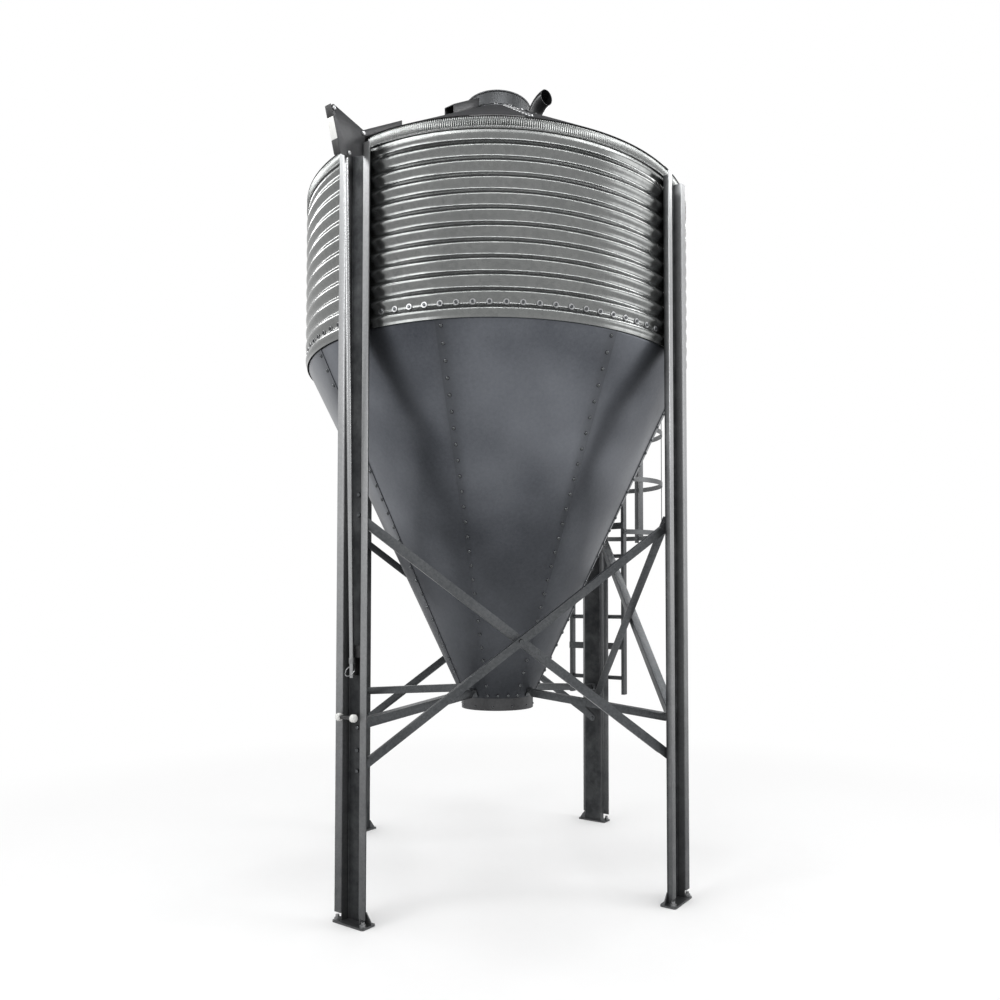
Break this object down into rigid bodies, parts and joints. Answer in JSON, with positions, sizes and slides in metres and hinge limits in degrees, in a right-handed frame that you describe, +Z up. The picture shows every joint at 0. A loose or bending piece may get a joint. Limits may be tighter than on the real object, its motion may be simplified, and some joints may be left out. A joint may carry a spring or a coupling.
{
  "type": "feed silo",
  "caption": "Small galvanised feed silo: corrugated round tank with conical roof and hopper on braced steel legs, with caged ladder and lid-opener rod.",
  "frame": {"origin": "on the silo's axis at ground level, centre of the eight anchor bolts", "axes": "+Z up; -Y is the front as pictured, between the lid-opener leg on the left and a plain leg on the right; +X to the right"},
  "size_m": [2.191, 2.191, 3.9561],
  "materials": {
    "bright_galvanised_sheet": "bright spangled galvanising",
    "dull_galvanised_sheet": "dull zinc-magnesium coating",
    "galvanised_steel": "hot-dip galvanised",
    "dark_steel": "satin dark grey",
    "black_plastic": "matte black"
  },
  "bodies": {
    "root": {"wall_sheet_front": "bright_galvanised_sheet", "wall_sheet_right": "bright_galvanised_sheet", "wall_sheet_back": "bright_galvanised_sheet", "wall_sheet_left": "bright_galvanised_sheet", "eave_ring": "bright_galvanised_sheet", "roof_panels_under": "dull_galvanised_sheet", "roof_panels_over": "dull_galvanised_sheet", "filler_neck": "dull_galvanised_sheet", "vent_elbow": "dark_steel", "hopper_panel_front": "dull_galvanised_sheet", "hopper_panel_front_right": "dull_galvanised_sheet", "hopper_panel_right": "dull_galvanised_sheet", "hopper_panel_back_right": "dull_galvanised_sheet", "hopper_panel_back": "dull_galvanised_sheet", "hopper_panel_back_left": "dull_galvanised_sheet", "hopper_panel_left": "dull_galvanised_sheet", "hopper_panel_front_left": "dull_galvanised_sheet", "outlet_collar": "dull_galvanised_sheet", "leg_front_left": "galvanised_steel", "leg_front_right": "galvanised_steel", "leg_back_right": "galvanised_steel", "leg_back_left": "galvanised_steel", "leg_feet": "galvanised_steel", "brace_rising_front": "galvanised_steel", "brace_falling_front": "galvanised_steel", "brace_rising_right": "galvanised_steel", "brace_falling_right": "galvanised_steel", "brace_rising_back": "galvanised_steel", "brace_falling_back": "galvanised_steel", "brace_rising_left": "galvanised_steel", "brace_falling_left": "galvanised_steel", "hopper_struts": "galvanised_steel", "ladder_rails": "galvanised_steel", "ladder_rungs": "galvanised_steel", "ladder_crossbars": "galvanised_steel", "cage_hoops": "galvanised_steel", "cage_straps": "galvanised_steel", "opener_bracket": "dark_steel", "pull_rod": "galvanised_steel", "rod_clip": "black_plastic", "rope_cleat": "black_plastic", "roof_channel": "dark_steel", "neck_channel": "dark_steel"}
  },
  "joints": []
}
